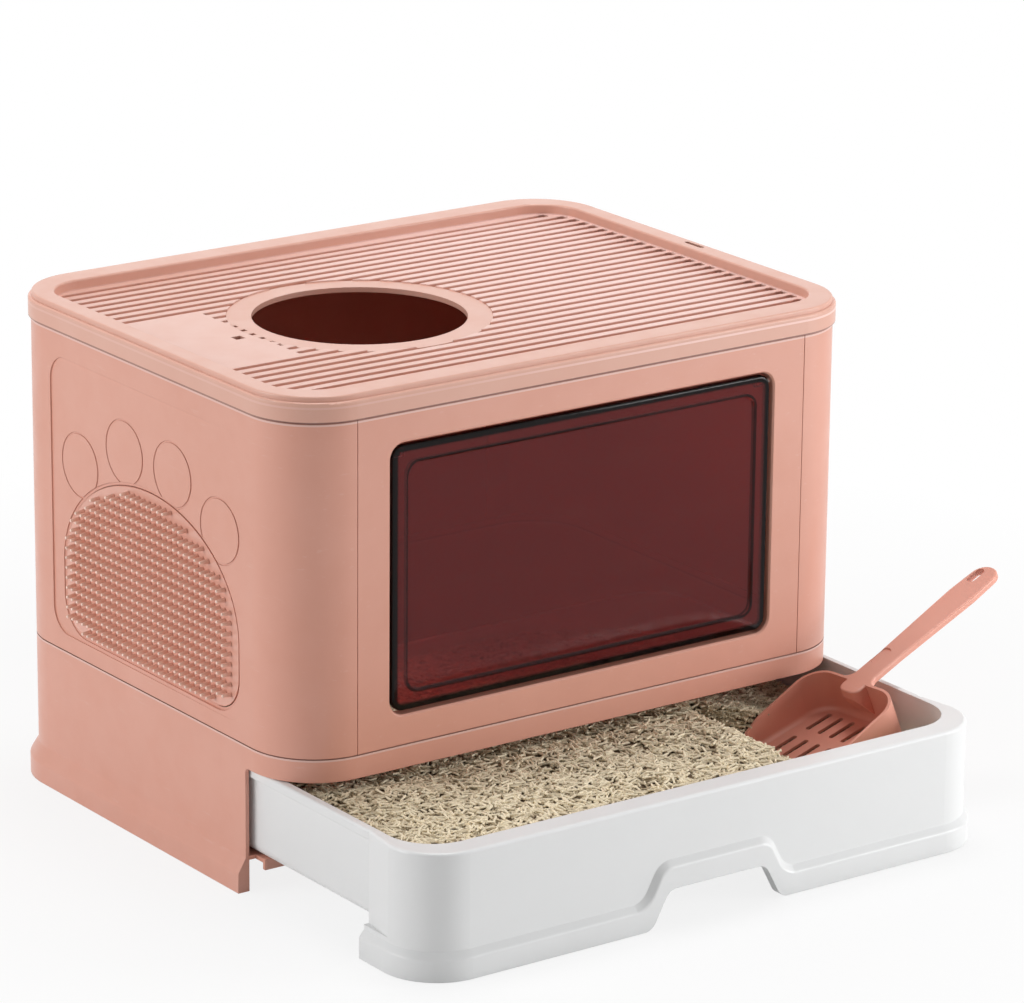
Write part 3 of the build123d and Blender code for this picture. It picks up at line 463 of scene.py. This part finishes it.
class Finish(Enum):
    """The finishes the box is made in."""

    CABIN = MouldedPlastic(
        "cabin_pink", (0.700, 0.335, 0.250), (0.665, 0.305, 0.220), coat=0.35,
        # The top seam sits low enough for its painted shade line to show under the lid's overhang.
        seams=(0.112, 0.3597),
    )
    # The deck's ribbed level carries a painted glare, paler towards +X.
    DECK = MouldedPlastic(
        "deck_pink", (0.705, 0.390, 0.303), (0.675, 0.355, 0.270), roughness=0.38, coat=0.25,
        # Painted shade line along the lid band's lower edge.
        seams=(0.3611,), glare_level=(0.372, 0.0008),
    )
    PAD = MouldedPlastic(
        "pad_pink", (0.720, 0.375, 0.290), (0.690, 0.340, 0.255), roughness=0.34, coat=0.4,
        edge_radius=0.0,
    )
    BRISTLE = MouldedPlastic(
        "bristle_pink", (0.800, 0.470, 0.370), (0.770, 0.430, 0.330), roughness=0.3, coat=0.5,
        # Painted highlight on the bristle tips.
        edge_radius=0.0, tip_highlight_span=(-0.2585, -0.2545),
    )
    SCOOP = MouldedPlastic(
        "scoop_pink", (0.780, 0.360, 0.270), (0.750, 0.320, 0.235), roughness=0.38, coat=0.1,
        edge_radius=0.0,
    )
    PIN = MouldedPlastic("pin_pale", (0.80, 0.70, 0.64), (0.74, 0.62, 0.56), roughness=0.25)
    DRAWER = MouldedPlastic(
        "drawer_white", (0.78, 0.785, 0.785), (0.76, 0.765, 0.765), roughness=0.34
    )
    FLAP = TintedSheet("flap_maroon", (0.43, 0.070, 0.068), (0.45, 0.12, 0.11))
    LITTER = PressedPellet("litter_straw", (1.0, 0.90, 0.68), (0.33, 0.24, 0.13))
    # Painted shade: the bed's dark colour stands for the shadow in the gaps between pellets.
    LITTER_BED = PressedPellet("litter_shadow", (0.15, 0.10, 0.055), (0.07, 0.045, 0.025))

    def build(self) -> bpy.types.Material:
        """Return this finish's material, made on first use."""
        existing = bpy.data.materials.get(self.value.name)
        return existing or self.value.material()


def dress(piece: bpy.types.Object, finish: Finish) -> None:
    """Give a piece one finish all over."""
    piece.data.materials.clear()
    piece.data.materials.append(finish.build())


def dress_nodes(finishes: dict[str, Finish]) -> None:
    """Dress nodes of the frame, which keep their shapes.

    Args:
        finishes: Each node's finish.
    """
    for node, finish in finishes.items():
        dress(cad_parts[node], finish)
        log.info("%s dressed", node)


def clear_selection() -> None:
    """Deselect everything, in object mode."""
    if bpy.context.mode != "OBJECT":
        bpy.ops.object.mode_set(mode="OBJECT")
    bpy.ops.object.select_all(action="DESELECT")


def select_faces(piece: bpy.types.Object, wanted: np.ndarray) -> None:
    """Select some of a mesh's faces for an operator, in edit mode.

    Args:
        piece: The object, in object mode.
        wanted: One flag per face.
    """
    mesh = piece.data
    for group in (mesh.vertices, mesh.edges):
        group.foreach_set("select", np.zeros(len(group), bool))
    mesh.polygons.foreach_set("select", wanted)
    bpy.ops.object.mode_set(mode="EDIT")
    bpy.ops.mesh.select_mode(type="FACE")


def in_world(piece: bpy.types.Object, name: str) -> bpy.types.Object:
    """Put a piece's place into its mesh and name it.

    Args:
        piece: The new object.
        name: Its name.

    Returns:
        The same object.
    """
    clear_selection()
    piece.select_set(True)
    bpy.context.view_layer.objects.active = piece
    bpy.ops.object.transform_apply(location=True, rotation=True, scale=True)
    piece.name = name
    piece.data.name = name
    return piece


def mesh_points(piece: bpy.types.Object) -> np.ndarray:
    """Read a mesh's vertices.

    Args:
        piece: The object.

    Returns:
        One point per row, in metres.
    """
    points = np.zeros(len(piece.data.vertices) * 3)
    piece.data.vertices.foreach_get("co", points)
    return points.reshape(-1, 3)


def move_points(piece: bpy.types.Object, points: np.ndarray) -> None:
    """Write points back to a mesh."""
    piece.data.vertices.foreach_set("co", points.ravel())
    piece.data.update()


def copies_of(
    template: bpy.types.Object, name: str, turns: np.ndarray, places: np.ndarray
) -> bpy.types.Object:
    """Copy a small shape many times into one mesh.

    Args:
        template: The shape, modelled about the origin.
        name: The new object's name.
        turns: One rotation and scale matrix per copy.
        places: One point per copy.

    Returns:
        The new object.
    """
    shape = mesh_points(template)
    faces = [tuple(face.vertices) for face in template.data.polygons]
    points = np.einsum("nij,vj->nvi", turns, shape) + places[:, None, :]
    count = len(shape)
    mesh = bpy.data.meshes.new(name)
    mesh.from_pydata(
        points.reshape(-1, 3).tolist(),
        [],
        [tuple(v + copy * count for v in face) for copy in range(len(places)) for face in faces],
    )
    mesh.validate()
    piece = bpy.data.objects.new(name, mesh)
    bpy.context.scene.collection.objects.link(piece)
    return piece


@dataclass
class Cabin:
    """The base, wall panels and hinge pins."""

    walls: tuple[str, ...] = (
        "base_frame", "left_side_shell", "right_side_shell", "front_panel", "rear_panel",
    )
    pins: tuple[str, ...] = ("left_hinge_pin", "right_hinge_pin")

    def build(self) -> None:
        """Dress the cabin's nodes."""
        dress_nodes(dict.fromkeys(self.walls, Finish.CABIN))
        dress_nodes(dict.fromkeys(self.pins, Finish.PIN))


@dataclass
class GroomingPad:
    """The plate in the paw's main pad and its rows of soft conical bristles, in millimetres."""

    centre_y: float = -5.0
    half_width: float = 118.5
    bottom: float = 131.5
    side_height: float = 53.5
    arch_height: float = 82.5
    corner_radius: float = 28.0
    face_x: float = -252.0
    thickness: float = 4.0
    # Rays from a middle at this share of the straight sides' height are halved towards the
    # plate's outline.
    outline_points: int = 128
    middle_share: float = 0.8
    farthest: float = 400.0
    halvings: int = 40
    face_inset: float = 0.6
    face_rise: float = 0.4
    # The bristles; the tip's measures are shares of the root's radius.
    bristle_radius: float = 1.9
    bristle_length: float = 6.8
    tip_radius: float = 0.6
    tip_inset: float = 0.22
    tip_rise: float = 0.2
    facets: int = 12
    lean: float = 0.012
    seed: int = 41
    column_pitch: float = 7.15
    row_pitch: float = 7.7
    side_columns: int = 40
    margin: float = 5.0

    def reach(self, rise: np.ndarray, margin: float) -> np.ndarray:
        """Half width of the pad's outline at a height above its bottom.

        Args:
            rise: Heights over the bottom edge.
            margin: How far inside the outline.

        Returns:
            The half widths, negative outside the outline.
        """
        arch = np.clip((rise - self.side_height) / (self.arch_height - margin), 0, 1)
        width = (self.half_width - margin) * np.sqrt(1 - arch**2)
        radius = self.corner_radius - margin
        drop = np.clip(radius - (rise - margin), 0, radius)
        width = width - (radius - np.sqrt(radius**2 - drop**2))
        outside = (rise < margin) | (arch >= 1)
        return np.where(outside, -1.0, width)

    def plate(self) -> bpy.types.Object:
        """Model the plate as a disc pulled to the pad's outline, extruded and softened.

        Returns:
            The plate.
        """
        clear_selection()
        bpy.ops.mesh.primitive_circle_add(
            vertices=self.outline_points, radius=1.0, fill_type="NGON",
            rotation=(0, math.pi / 2, 0),
        )
        piece = in_world(bpy.context.object, "pad_plate")
        points = mesh_points(piece)
        middle = self.side_height * self.middle_share
        for index, point in enumerate(points):
            ray = np.array([point[1], point[2]])
            near, far = 0.0, self.farthest
            for _ in range(self.halvings):
                length = (near + far) / 2
                rise = middle + ray[1] * length
                inside = abs(ray[0] * length) < self.reach(np.array(rise), 0.0)
                near, far = (length, far) if inside else (near, length)
            points[index] = (
                self.face_x + self.thickness,
                self.centre_y + ray[0] * near,
                self.bottom + middle + ray[1] * near,
            )
        move_points(piece, points * MM)
        bpy.ops.object.mode_set(mode="EDIT")
        bpy.ops.mesh.select_all(action="SELECT")
        bpy.ops.mesh.extrude_region_move(
            TRANSFORM_OT_translate={"value": (-self.thickness * MM, 0, 0)}
        )
        bpy.ops.mesh.inset(thickness=self.face_inset * MM, depth=self.face_rise * MM)
        bpy.ops.mesh.select_all(action="SELECT")
        bpy.ops.mesh.normals_make_consistent(inside=False)
        bpy.ops.object.mode_set(mode="OBJECT")
        return piece

    def bristle(self) -> bpy.types.Object:
        """Model one bristle: a tapered pin with a rounded tip, root at the origin.

        Returns:
            The bristle, upright.
        """
        radius, length = self.bristle_radius, self.bristle_length
        clear_selection()
        bpy.ops.mesh.primitive_cone_add(
            vertices=self.facets,
            radius1=radius * MM,
            radius2=radius * self.tip_radius * MM,
            depth=length * MM,
            end_fill_type="NGON",
            location=(0, 0, length / 2 * MM),
        )
        piece = in_world(bpy.context.object, "bristle_shape")
        tip = [face.center.z > 0.99 * length * MM for face in piece.data.polygons]
        select_faces(piece, np.array(tip))
        bpy.ops.mesh.inset(
            thickness=radius * self.tip_inset * MM, depth=radius * self.tip_rise * MM
        )
        bpy.ops.object.mode_set(mode="OBJECT")
        return piece

    def bristles(self) -> bpy.types.Object:
        """Copy the bristle over the pad in straight rows and columns.

        Returns:
            All the bristles as one piece.
        """
        shape = self.bristle()
        places = []
        top = self.side_height + self.arch_height
        for row in range(int(top / self.row_pitch) + 1):
            rise = self.margin + row * self.row_pitch
            reach = float(self.reach(np.array(rise), self.margin))
            for column in range(-self.side_columns, self.side_columns + 1):
                across = column * self.column_pitch
                if abs(across) <= reach:
                    places.append((self.face_x, self.centre_y + across, self.bottom + rise))
        places = np.array(places) * MM
        chance = np.random.default_rng(self.seed)
        turns = np.zeros((len(places), 3, 3))
        for index in range(len(places)):
            lean = Matrix.Rotation(chance.normal(0, self.lean), 3, "Y") @ Matrix.Rotation(
                chance.normal(0, self.lean), 3, "Z"
            )
            outwards = Matrix.Rotation(-math.pi / 2, 3, "Y")
            spin = Matrix.Rotation(chance.uniform(0, math.tau), 3, "Z")
            turns[index] = np.array(lean @ outwards @ spin)
        piece = copies_of(shape, "pad_bristles", turns, places)
        bpy.data.objects.remove(shape)
        return piece

    def build(self) -> None:
        """Model and dress the pad, in place of its plainer node."""
        plate = self.plate()
        bristles = self.bristles()
        for piece, finish in ((plate, Finish.PAD), (bristles, Finish.BRISTLE)):
            dress(piece, finish)
            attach(piece, "cabin")
            log.info("%s: %d faces", piece.name, len(piece.data.polygons))
        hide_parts("grooming_pad")


@dataclass(frozen=True)
class ScoopPan:
    """The scoop's pan as it lies in the litter, in millimetres.

    Its own axes run along its handle, across it and out of its mouth, from the middle of its rim
    by the handle.
    """

    origin: Triple = (213.9, -251.3, 103.8)
    along: Triple = (0.9146, 0.0839, 0.3957)
    up: Triple = (-0.3948, -0.0272, 0.9184)
    depth: float = 38.0
    floor_rise: float = 0.1565
    half_width: float = 47.3
    length: float = 115.0
    # Seen from above: how far it runs aside per X, its lip and its back.
    skew: float = 0.0878
    lip_x: float = -98.5
    back_x: float = 24.0
    # Its side rims: low to the bend, then up to the handle, and never under the lip.
    bend_x: float = -58.3
    front_rise: float = 0.811
    front_step: float = 18.8
    back_rise: float = 0.49
    lip_z: float = -61.0
    # Its underside, and how steeply litter stands before its lip and beside its walls.
    under_z: float = -40.2
    under_rise: float = 0.2568
    under_tilt: float = 0.0144
    steep_before: float = 2.3
    steep_beside: float = 1.05
    unlimited: float = 200.0
    # The litter in it: how it spreads back from the lip, its half width and its small pile.
    spread: Span = (1.6, 8.0)
    spread_reach: float = 34.0
    spread_half_width: float = 38.0
    first_row: float = 3.0
    on_floor: float = 3.6
    pile_height: float = 4.0
    pile_reach: float = 26.0

    def axes(self) -> np.ndarray:
        """The pan's own axes as columns: along its handle, across it and out of its mouth."""
        along, up = np.array(self.along), np.array(self.up)
        return np.stack([along, np.cross(up, along), up], 1)

    def rim(self, x: np.ndarray) -> np.ndarray:
        """Height of the pan's side rims, from its low lip up to the handle.

        Args:
            x: Places across the tray.

        Returns:
            The heights.
        """
        along = x - self.origin[0]
        front = self.front_rise * along + self.front_step
        rim = np.where(along < self.bend_x, front, self.back_rise * along)
        return self.origin[2] + np.maximum(rim, self.lip_z)

    def litter_limit(self, x: np.ndarray, y: np.ndarray) -> np.ndarray:
        """Height the litter may have under the pan, and where it falls to the pan's rim and lip.

        Args:
            x: Places across the tray.
            y: Places along the tray.

        Returns:
            The heights, far over the tray where the pan doesn't reach.
        """
        along = x - self.origin[0]
        aside = y - self.origin[1]
        beside = np.maximum(np.abs(aside - self.skew * along) - self.half_width, 0.0)
        before = np.maximum(self.lip_x - along, 0.0)
        slope = self.rim(x) + np.hypot(self.steep_before * before, self.steep_beside * beside)
        under = self.origin[2] + self.under_z + self.under_rise * along + self.under_tilt * aside
        covered = (beside <= 0) & (before <= 0)
        limit = np.where(covered, np.minimum(under, slope), slope)
        return np.where(along < self.back_x, limit, self.unlimited)

    def holds(self, points: np.ndarray, room: float) -> np.ndarray:
        """Which points lie in the pan or within a distance of its walls.

        Args:
            points: One point per row.
            room: The distance.

        Returns:
            One flag per point.
        """
        local = (points - np.array(self.origin)) @ self.axes()
        over_floor = local[:, 2] > -self.depth - self.floor_rise * local[:, 0] - room
        across = np.abs(local[:, 1]) < self.half_width + room
        along = (local[:, 0] > -self.length - room) & (local[:, 0] < room)
        below_rim = points[:, 2] < self.rim(points[:, 0]) + 2 * room
        return over_floor & across & along & below_rim

    def spilled(self, count: int, chance: np.random.Generator) -> np.ndarray:
        """Places of the pellets that lie on the pan's floor behind its lip.

        Args:
            count: Pellets to try; those too far back are left out.
            chance: The seeded source of places.

        Returns:
            One point per pellet.
        """
        back = chance.gamma(*self.spread, count)
        across = chance.uniform(-self.spread_half_width, self.spread_half_width, count)
        keep = back < self.spread_reach
        back, across = back[keep], across[keep]
        pile = np.clip(1.0 - back / self.pile_reach, 0.0, 1.0) * self.pile_height
        over = self.on_floor + pile * chance.uniform(0, 1, len(back))
        along = self.first_row - self.length + back
        local = np.stack([along, across, -self.depth - self.floor_rise * along + over], 1)
        return local @ self.axes().T + np.array(self.origin)


@dataclass
class LitterHeap:
    """The litter: a heaped bed under a loose layer of short rod pellets, in millimetres."""

    level: float = 84.2
    bottom: float = 30.9
    half_width: float = 242.3
    front: float = -336.1
    rear: float = 27.9
    corner: float = 35.5
    pan: ScoopPan = ScoopPan()
    # The low mounds that the solid bed has.
    mound_height: float = 3.0
    mound_radius: float = 46.0
    mound_pitch: float = 73.0
    mound_row_share: float = 0.9
    mound_mid_y: float = -154.1
    mound_rows: int = 2
    mound_columns: int = 3
    mound_limit_x: float = 190.0
    # Where the heap falls towards the scoop.
    slope_x: float = 96.0
    slope_top: float = 86.6
    slope: float = 0.187
    # Long waves: waves along x and y, phase and height.
    waves: tuple[tuple[float, float, float, float], ...] = (
        (0.052, 0.027, 4.1, 0.5), (0.083, -0.061, 2.2, 0.4), (-0.031, -0.072, 5.0, 0.4),
    )
    # The bed lies a little under the pellets, and is rough itself.
    grid: tuple[int, int] = (180, 135)
    bed_drop: float = 1.8
    bed_rough: float = 0.4
    bed_seed: int = 5
    # One pellet, and how pellets differ.
    pellet_radius: float = 0.8
    pellet_length: float = 8.6
    sides: int = 6
    tilt: float = 0.12
    stretch: Span = (0.7, 1.2)
    girth: Span = (0.85, 1.15)
    tone_spread: float = 0.12
    # Painted shade: the deeper a pellet sits among the others, the darker its tone.
    shade_per_mm: float = 0.30
    # The bands of loose pellets along the tray, with more of them on the slope.
    bands: tuple[float, ...] = (-336.1, -285.0, -234.0, -182.0, -100.0, 27.9)
    band_seed: int = 100
    per_mm: float = 64.0
    slope_bands: tuple[int, ...] = (1, 2)
    slope_span: Span = (94.0, 165.0)
    per_slope_band: int = 1200
    over_bed: Span = (-1.6, 1.4)
    from_wall: float = 5.2
    from_pan: float = 2.0
    in_pan: int = 420
    pan_seed: int = 9
    # Painted shade: the pellets under the cabin's shadow are toned darker, as if they were sunk
    # deeper.
    shade_y: float = -262.0
    shade_run: float = 60.0
    shade_depth: float = 1.1

    def mounds(self, x: np.ndarray, y: np.ndarray) -> np.ndarray:
        """Height of the low mounds the solid bed has, over its level top.

        Args:
            x: Places across the tray.
            y: Places along the tray.

        Returns:
            The heights.
        """
        height = np.zeros_like(x)
        for row in range(-self.mound_rows, self.mound_rows + 1):
            shift = self.mound_pitch / 2 if row % 2 else 0.0
            middle_y = self.mound_mid_y + row * self.mound_pitch * self.mound_row_share
            for column in range(-self.mound_columns, self.mound_columns + 1):
                middle_x = column * self.mound_pitch + shift
                if abs(middle_x) > self.mound_limit_x:
                    continue
                away = np.hypot(x - middle_x, y - middle_y) / self.mound_radius
                height = np.maximum(height, self.mound_height * (1.0 - np.minimum(away, 1.0) ** 2))
        return height

    def height(self, x: np.ndarray, y: np.ndarray) -> np.ndarray:
        """Height of the heap's surface over the floor.

        Args:
            x: Places across the tray.
            y: Places along the tray.

        Returns:
            The heights.
        """
        level = self.level + self.mounds(x, y)
        level = np.minimum(level, self.slope_top - self.slope * (x - self.slope_x))
        for along_x, along_y, phase, size in self.waves:
            level += size * np.sin(along_x * x + along_y * y + phase)
        return np.minimum(level, self.pan.litter_limit(x, y))

    def within(self, x: np.ndarray, y: np.ndarray, margin: float) -> tuple[np.ndarray, np.ndarray]:
        """Pull points into the tray's rounded outline.

        Args:
            x: Places across the tray.
            y: Places along the tray.
            margin: How far inside the outline.

        Returns:
            The pulled places.
        """
        radius = self.corner
        half_x = self.half_width - margin - radius
        mid_y = (self.front + self.rear) / 2
        half_y = (self.rear - self.front) / 2 - margin - radius
        out_x = x - np.clip(x, -half_x, half_x)
        out_y = (y - mid_y) - np.clip(y - mid_y, -half_y, half_y)
        length = np.hypot(out_x, out_y)
        pull = np.where(length > radius, radius / np.maximum(length, 1e-9), 1.0)
        return x - out_x * (1 - pull), y - out_y * (1 - pull)

    def bed(self) -> bpy.types.Object:
        """Model the heap: a fine grid drawn to the tray's outline, raised and given depth.

        Returns:
            The heap.
        """
        clear_selection()
        across, along = self.grid
        bpy.ops.mesh.primitive_grid_add(x_subdivisions=across, y_subdivisions=along, size=1.0)
        piece = in_world(bpy.context.object, "litter_heap")
        points = mesh_points(piece)
        x = points[:, 0] * 2 * self.half_width
        y = points[:, 1] * (self.rear - self.front) + (self.front + self.rear) / 2
        x, y = self.within(x, y, 0.0)
        rough = np.random.default_rng(self.bed_seed).normal(0, self.bed_rough, len(x))
        top = self.height(x, y) - self.bed_drop + rough
        move_points(piece, np.stack([x, y, top], 1) * MM)
        bpy.ops.object.mode_set(mode="EDIT")
        bpy.ops.mesh.select_all(action="SELECT")
        # Any depth will do here: the lower side is then set on the bottom.
        bpy.ops.mesh.extrude_region_move(TRANSFORM_OT_translate={"value": (0, 0, -0.02)})
        bpy.ops.mesh.normals_make_consistent(inside=False)
        bpy.ops.object.mode_set(mode="OBJECT")
        points = mesh_points(piece)
        lower = np.arange(len(points)) >= len(x)
        points[lower, 2] = self.bottom * MM
        move_points(piece, points)
        return piece

    def pellet(self) -> bpy.types.Object:
        """Model one pellet: a short rod lying along X.

        Returns:
            The pellet.
        """
        clear_selection()
        bpy.ops.mesh.primitive_cylinder_add(
            vertices=self.sides, radius=self.pellet_radius * MM,
            depth=self.pellet_length * MM, rotation=(0, math.pi / 2, 0),
        )
        return in_world(bpy.context.object, "pellet_shape")

    def scatter(
        self,
        shape: bpy.types.Object,
        name: str,
        points: np.ndarray,
        depth: np.ndarray,
        chance: np.random.Generator,
    ) -> bpy.types.Object:
        """Lay pellets at given places with turns of their own.

        Args:
            shape: The pellet.
            name: The new piece's name.
            points: The pellets' middles.
            depth: How far each pellet is sunk: the deeper it is, the darker its tone, as painted
                shade.
            chance: The seeded source of turns, lengths and tones.

        Returns:
            The new piece.
        """
        count = len(points)
        heading = chance.uniform(0, math.tau, count)
        tilt = chance.normal(0, self.tilt, count)
        stretch = chance.uniform(*self.stretch, count)
        girth = chance.uniform(*self.girth, count)
        cos_h, sin_h = np.cos(heading), np.sin(heading)
        cos_t, sin_t = np.cos(tilt), np.sin(tilt)
        turns = np.zeros((count, 3, 3))
        turns[:, :, 0] = np.stack([cos_h * cos_t, sin_h * cos_t, sin_t], 1) * stretch[:, None]
        turns[:, :, 1] = np.stack([-sin_h, cos_h, np.zeros(count)], 1) * girth[:, None]
        turns[:, :, 2] = np.stack([-cos_h * sin_t, -sin_h * sin_t, cos_t], 1) * girth[:, None]
        piece = copies_of(shape, name, turns, points * MM)
        tone = chance.normal(0.0, self.tone_spread, count)
        # Painted shade: sunk pellets and those under the cabin's shadow get a darker tone.
        tone = np.clip(tone + self.shade_per_mm * np.maximum(depth, 0.0), 0, 1)
        tone = np.repeat(tone, len(shape.data.vertices))
        attribute = piece.data.attributes.new(PELLET_TONE_AND_SHADE, "FLOAT", "POINT")
        attribute.data.foreach_set("value", tone.astype(np.float32))
        dress(piece, Finish.LITTER)
        return piece

    def build(self) -> None:
        """Model the heap and its loose layers, in place of the plain bed."""
        bed = self.bed()
        dress(bed, Finish.LITTER_BED)
        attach(bed, "tray")
        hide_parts("litter_bed")
        log.info("%s: %d faces", bed.name, len(bed.data.polygons))
        shape = self.pellet()
        for band, (low, high) in enumerate(zip(self.bands, self.bands[1:])):
            chance = np.random.default_rng(self.band_seed + band)
            count = round(self.per_mm * (high - low))
            x = chance.uniform(-self.half_width, self.half_width, count)
            y = chance.uniform(low, high, count)
            if band in self.slope_bands:
                x = np.append(x, chance.uniform(*self.slope_span, self.per_slope_band))
                y = np.append(y, chance.uniform(low, high, self.per_slope_band))
            x, y = self.within(x, y, self.from_wall)
            over = chance.uniform(*self.over_bed, len(x))
            points = np.stack([x, y, self.height(x, y) + over], 1)
            clear = ~self.pan.holds(points, self.from_pan)
            points = points[clear]
            # Painted shade for the cabin's shadow, added to how far each pellet is sunk.
            shaded = np.clip((points[:, 1] - self.shade_y) / self.shade_run, 0.0, 1.0)
            sunk = 1.0 - over[clear] + self.shade_depth * shaded
            piece = self.scatter(shape, f"litter_pellets_{band + 1}", points, sunk, chance)
            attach(piece, "tray")
            log.info("%s: %d pellets", piece.name, len(points))
        chance = np.random.default_rng(self.pan_seed)
        points = self.pan.spilled(self.in_pan, chance)
        piece = self.scatter(shape, "pan_pellets", points, np.zeros(len(points)), chance)
        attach(piece, "tool")
        log.info("%s: %d pellets", piece.name, len(points))
        bpy.data.objects.remove(shape)


@dataclass(frozen=True)
class Lamp:
    """A soft square lamp that faces the box: its place, the side of its square and its power."""

    name: str
    place: Triple
    size: float
    watts: float
    aim: Triple = (0.0, -0.05, 0.15)

    def build(self) -> None:
        """Hang the lamp."""
        data = bpy.data.lights.new(self.name, "AREA")
        data.shape = "SQUARE"
        data.size = self.size
        data.energy = self.watts
        lamp = bpy.data.objects.new(self.name, data)
        bpy.context.scene.collection.objects.link(lamp)
        lamp.location = self.place
        facing = Vector(self.aim) - Vector(self.place)
        lamp.rotation_euler = facing.to_track_quat("-Z", "Y").to_euler()


@dataclass
class Studio:
    """The white floor and surroundings, the soft lights and the camera."""

    eye: Triple = (-2.15775, -3.10151, 1.39931)
    yaw: float = 0.624
    pitch: float = 0.3035
    roll: float = -0.0096
    lens: float = 184.62
    sensor: float = 36.0
    farthest: float = 50.0
    lamps: tuple[Lamp, ...] = (
        Lamp("front_right", (1.6, -1.6, 0.5), size=1.0, watts=31.0),
        Lamp("left", (-2.6, 0.7, 1.0), size=1.5, watts=36.0),
        Lamp("top", (0.2, 0.2, 2.5), size=1.0, watts=31.0),
        Lamp("rear", (1.9, 3.0, 1.3), size=2.4, watts=5.0),
    )
    ambient: float = 0.28
    floor_size: float = 14.0
    floor_tone: float = 0.80
    # The floor's own white near the box, what it gains further out, and where it does so.
    white_near: float = 0.84
    white_gain: float = 0.16
    gain_span: Span = (0.45, 0.85)

    def white_surround(self) -> None:
        """White for what the camera, gloss and glass see, and a soft grey light for the rest."""
        world = bpy.data.worlds.new("surround")
        bpy.context.scene.world = world
        world.use_nodes = True
        graph = ShaderGraph(world.node_tree, "ShaderNodeOutputWorld")
        path = graph.node("ShaderNodeLightPath")
        seen = Socket(graph, path.outputs["Is Camera Ray"])
        for ray in MIRROR_RAYS:
            seen = seen.at_least(Socket(graph, path.outputs[ray]))
        light, white = (
            graph.node("ShaderNodeBackground", None, {"Color": WHITE, "Strength": strength})
            for strength in (self.ambient, 1.0)
        )
        inputs = {0: seen, 1: light.outputs[0], 2: white.outputs[0]}
        graph.finish(graph.node("ShaderNodeMixShader", None, inputs))

    def floor(self) -> None:
        """A floor that is white to the camera and keeps a soft shadow."""
        clear_selection()
        bpy.ops.mesh.primitive_grid_add(x_subdivisions=2, y_subdivisions=2, size=self.floor_size)
        piece = in_world(bpy.context.object, "floor")
        graph = MaterialGraph("floor_white")
        matt = graph.node("ShaderNodeBsdfDiffuse", None, {"Color": (*[self.floor_tone] * 3, 1.0)})
        glow = graph.node("ShaderNodeEmission", None, {"Color": WHITE, "Strength": 1.0})
        path = graph.node("ShaderNodeLightPath")
        seen = Socket(graph, path.outputs["Is Camera Ray"])
        for ray in MIRROR_RAYS:
            seen = seen + Socket(graph, path.outputs[ray])
        spread = graph.node("ShaderNodeVectorMath", {"operation": "LENGTH"}, {0: graph.place})
        far = graph.ramp(Socket(graph, spread.outputs["Value"]), *self.gain_span)
        share = seen * (self.white_near + self.white_gain * far)
        inputs = {0: share, 1: matt.outputs[0], 2: glow.outputs[0]}
        graph.finish(graph.node("ShaderNodeMixShader", None, inputs))
        piece.data.materials.append(graph.material)

    def camera(self) -> None:
        """Place the camera where the photograph was taken from."""
        forward = Vector(
            (
                math.sin(self.yaw) * math.cos(self.pitch),
                math.cos(self.yaw) * math.cos(self.pitch),
                -math.sin(self.pitch),
            )
        )
        right = Vector((math.cos(self.yaw), -math.sin(self.yaw), 0.0))
        down = forward.cross(right)
        side = right * math.cos(self.roll) + down * math.sin(self.roll)
        lower = down * math.cos(self.roll) - right * math.sin(self.roll)
        turn = Matrix((side, -lower, -forward)).transposed()
        data = bpy.data.cameras.new("camera")
        data.lens = self.lens
        data.sensor_fit = "HORIZONTAL"
        data.sensor_width = self.sensor
        data.clip_end = self.farthest
        eye = bpy.data.objects.new("camera", data)
        bpy.context.scene.collection.objects.link(eye)
        eye.matrix_world = Matrix.Translation(Vector(self.eye)) @ turn.to_4x4()
        bpy.context.scene.camera = eye

    def build(self) -> None:
        """Set up the whole studio."""
        bpy.context.scene.view_settings.view_transform = "Standard"
        self.white_surround()
        self.floor()
        for lamp in self.lamps:
            lamp.build()
        self.camera()


def main() -> None:
    """Build every sub-assembly in order."""
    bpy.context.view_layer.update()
    Cabin().build()
    GroomingPad().build()
    LitterHeap().build()
    dress_nodes(
        {
            "lid": Finish.DECK,
            "drawer": Finish.DRAWER,
            "flap_door": Finish.FLAP,
            "scoop": Finish.SCOOP,
        }
    )
    Studio().build()


if __name__ == "__main__":
    logging.basicConfig(level=logging.INFO, format="%(name)s: %(message)s")
    main()
